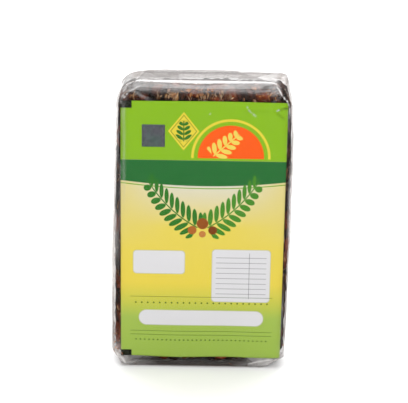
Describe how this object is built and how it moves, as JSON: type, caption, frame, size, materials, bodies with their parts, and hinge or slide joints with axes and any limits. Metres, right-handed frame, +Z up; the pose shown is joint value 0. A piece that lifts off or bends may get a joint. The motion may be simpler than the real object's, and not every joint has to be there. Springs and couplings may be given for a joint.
{
  "type": "film-wrapped block of pressed tamarind",
  "caption": "Upright retail block of pressed tamarind pulp in a folded clear film wrap, with a printed label behind the film.",
  "frame": {"origin": "middle of the packet's box, on the surface that it stands on", "axes": "+Z up along the packet's height, +X along its width to the viewer's right, +Y from the printed front to the back"},
  "size_m": [0.0776, 0.0204, 0.1304],
  "materials": {
    "tamarind_block": "sticky, lumpy and half glossy",
    "film_wrap": "clear, creased and glossy",
    "printed_label": "printed, smooth, half glossy"
  },
  "bodies": {
    "root": {"tamarind_block": "tamarind_block", "film_wrap": "film_wrap", "printed_label": "printed_label"}
  },
  "joints": []
}
